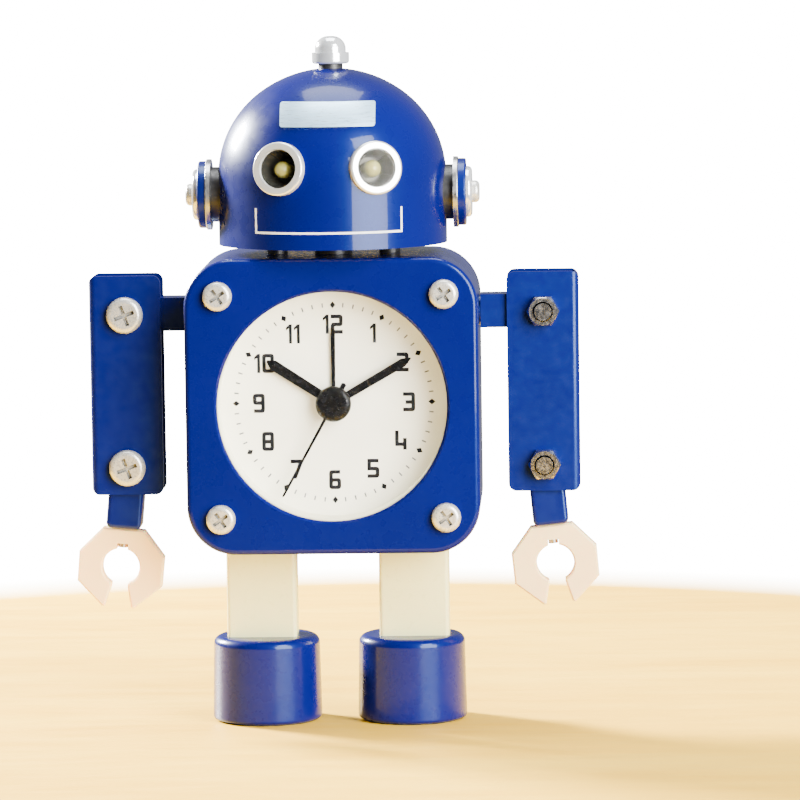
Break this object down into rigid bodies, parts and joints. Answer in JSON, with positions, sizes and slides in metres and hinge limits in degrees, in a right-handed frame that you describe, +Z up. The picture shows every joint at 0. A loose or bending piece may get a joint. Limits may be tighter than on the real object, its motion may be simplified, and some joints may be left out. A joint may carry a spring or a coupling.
{
  "type": "robot alarm clock",
  "caption": "Robot-shaped quartz alarm clock with a dial in its body, lamp eyes, hinged swinging arms, swivelling clip hands and a press button on its head.",
  "frame": {"origin": "on the table, under the middle of the clock's box", "axes": "+Z up, the dial and face look along -Y, +X to the right as seen from the front"},
  "size_m": [0.153, 0.0682, 0.2],
  "materials": {
    "blue_paint": "gloss",
    "chrome_trim": "polished",
    "silver_trim": "satin",
    "pale_screws": "satin",
    "steel_nuts": "polished",
    "inner_steel": "satin",
    "black_plastic": "satin",
    "ivory_plastic": "satin",
    "claw_plastic": "satin",
    "dial_face": "matt",
    "black_hands": "gloss",
    "clear": "polished",
    "gear_plastic": "satin",
    "coil_copper": "satin",
    "board_green": "satin",
    "battery_jacket": "gloss",
    "lamp_resin": "polished",
    "pad_foam": "matt"
  },
  "bodies": {
    "body": {"body_shell": "blue_paint", "front_plate": "blue_paint", "case_screws": "pale_screws", "crystal": "clear", "dial_ring": "ivory_plastic", "dial": "dial_face", "back_cover": "blue_paint", "movement_front": "black_plastic", "movement_back": "black_plastic", "motor_coil": "coil_copper", "circuit_board": "board_green", "buzzer": "black_plastic", "battery": "battery_jacket", "battery_contacts": "inner_steel", "legs": "ivory_plastic", "feet": "blue_paint", "foot_pads": "pad_foam", "frame_bolts": "inner_steel", "neck_tube": "black_plastic", "spacers": "black_plastic", "head_base": "inner_steel", "head_dome": "blue_paint", "eye_bezels": "chrome_trim", "eye_lamps": "lamp_resin", "eye_lenses": "clear", "brow_plate": "silver_trim", "ear_plates": "silver_trim", "ear_discs": "blue_paint", "ear_caps": "silver_trim", "ear_screws": "pale_screws", "button_bushing": "black_plastic", "button_spring": "inner_steel", "button_switch": "black_plastic"},
    "top_button": {"top_button": "chrome_trim"},
    "battery_door": {"battery_door": "black_plastic"},
    "alarm_switch": {"alarm_switch": "black_plastic"},
    "rotor": {"rotor": "gear_plastic"},
    "third_wheel": {"third_wheel": "gear_plastic"},
    "seconds": {"seconds_wheel": "gear_plastic", "second_hand": "black_hands"},
    "minutes": {"minute_pipe": "gear_plastic", "minute_hand": "black_hands"},
    "hours": {"hour_wheel": "gear_plastic", "hour_hand": "black_hands"},
    "alarm": {"alarm_wheel": "gear_plastic", "alarm_hand": "black_hands"},
    "time_set": {"time_set_knob": "black_plastic"},
    "alarm_set": {"alarm_set_knob": "black_plastic"},
    "left_shoulder": {"left_shoulder_bar": "blue_paint"},
    "left_arm": {"left_arm": "blue_paint", "left_arm_fasteners": "pale_screws"},
    "left_forearm": {"left_forearm": "blue_paint", "left_claw_screw": "inner_steel"},
    "left_claw": {"left_claw": "claw_plastic"},
    "right_shoulder": {"right_shoulder_bar": "blue_paint"},
    "right_arm": {"right_arm": "blue_paint", "right_arm_fasteners": "steel_nuts"},
    "right_forearm": {"right_forearm": "blue_paint", "right_claw_screw": "inner_steel"},
    "right_claw": {"right_claw": "claw_plastic"}
  },
  "joints": [
    {"name": "button_press", "type": "slide", "parent": "body", "child": "top_button", "axis": [0, 0, -1], "range_m": [0, 0.0012], "stiffness_N_per_m": 300, "springref_m": -0.001, "deforming": ["button_spring"]},
    {"name": "battery_door_pull", "type": "slide", "parent": "body", "child": "battery_door", "axis": [0, 1, 0], "range_m": [0, 0.02]},
    {"name": "alarm_switch_slide", "type": "slide", "parent": "body", "child": "alarm_switch", "axis": [1, 0, 0], "range_m": [0, 0.004]},
    {"name": "seconds_turn", "type": "hinge", "parent": "body", "child": "seconds", "pos_m": [0, 0, 0.09425], "axis": [0, 1, 0], "continuous": true},
    {"name": "third_wheel_turn", "type": "hinge", "parent": "body", "child": "third_wheel", "pos_m": [0, 0, 0.10125], "axis": [0, 1, 0], "continuous": true},
    {"name": "rotor_turn", "type": "hinge", "parent": "body", "child": "rotor", "pos_m": [0, 0, 0.10725], "axis": [0, 1, 0], "continuous": true},
    {"name": "time_set_turn", "type": "hinge", "parent": "body", "child": "time_set", "pos_m": [0.0075, 0, 0.09425], "axis": [0, 1, 0], "continuous": true},
    {"name": "minute_turn", "type": "hinge", "parent": "body", "child": "minutes", "pos_m": [0, 0, 0.09425], "axis": [0, 1, 0], "continuous": true},
    {"name": "hour_turn", "type": "hinge", "parent": "body", "child": "hours", "pos_m": [0, 0, 0.09425], "axis": [0, 1, 0], "continuous": true},
    {"name": "alarm_set_turn", "type": "hinge", "parent": "body", "child": "alarm_set", "pos_m": [-0.0078, 0, 0.09425], "axis": [0, 1, 0], "continuous": true},
    {"name": "alarm_hand_turn", "type": "hinge", "parent": "body", "child": "alarm", "pos_m": [0, 0, 0.09425], "axis": [0, 1, 0], "continuous": true},
    {"name": "left_arm_swing", "type": "hinge", "parent": "body", "child": "left_shoulder", "pos_m": [-0.0423, 0, 0.1199], "axis": [1, 0, 0], "continuous": true},
    {"name": "left_arm_raise", "type": "hinge", "parent": "left_shoulder", "child": "left_arm", "pos_m": [-0.0608, 0, 0.1199], "axis": [0, 1, 0], "range_deg": [0, 90]},
    {"name": "left_elbow", "type": "hinge", "parent": "left_arm", "child": "left_forearm", "pos_m": [-0.0608, 0, 0.0752], "axis": [0, 1, 0], "range_deg": [-24, 18]},
    {"name": "left_claw_swivel", "type": "hinge", "parent": "left_forearm", "child": "left_claw", "pos_m": [-0.06255, 0, 0.05698], "axis": [0.0958, 0, 0.9954], "continuous": true},
    {"name": "right_arm_swing", "type": "hinge", "parent": "body", "child": "right_shoulder", "pos_m": [0.0423, 0, 0.1199], "axis": [1, 0, 0], "continuous": true},
    {"name": "right_arm_raise", "type": "hinge", "parent": "right_shoulder", "child": "right_arm", "pos_m": [0.0608, 0, 0.1199], "axis": [0, -1, 0], "range_deg": [0, 90]},
    {"name": "right_elbow", "type": "hinge", "parent": "right_arm", "child": "right_forearm", "pos_m": [0.0608, 0, 0.0752], "axis": [0, -1, 0], "range_deg": [-24, 18]},
    {"name": "right_claw_swivel", "type": "hinge", "parent": "right_forearm", "child": "right_claw", "pos_m": [0.06255, 0, 0.05698], "axis": [-0.0958, 0, 0.9954], "continuous": true}
  ],
  "couplings": [
    {"joint": "third_wheel_turn", "follows": "seconds_turn", "ratio": -6},
    {"joint": "rotor_turn", "follows": "seconds_turn", "ratio": 30},
    {"joint": "minute_turn", "follows": "time_set_turn", "ratio": -3},
    {"joint": "hour_turn", "follows": "time_set_turn", "ratio": -0.25},
    {"joint": "alarm_hand_turn", "follows": "alarm_set_turn", "ratio": -0.3}
  ]
}
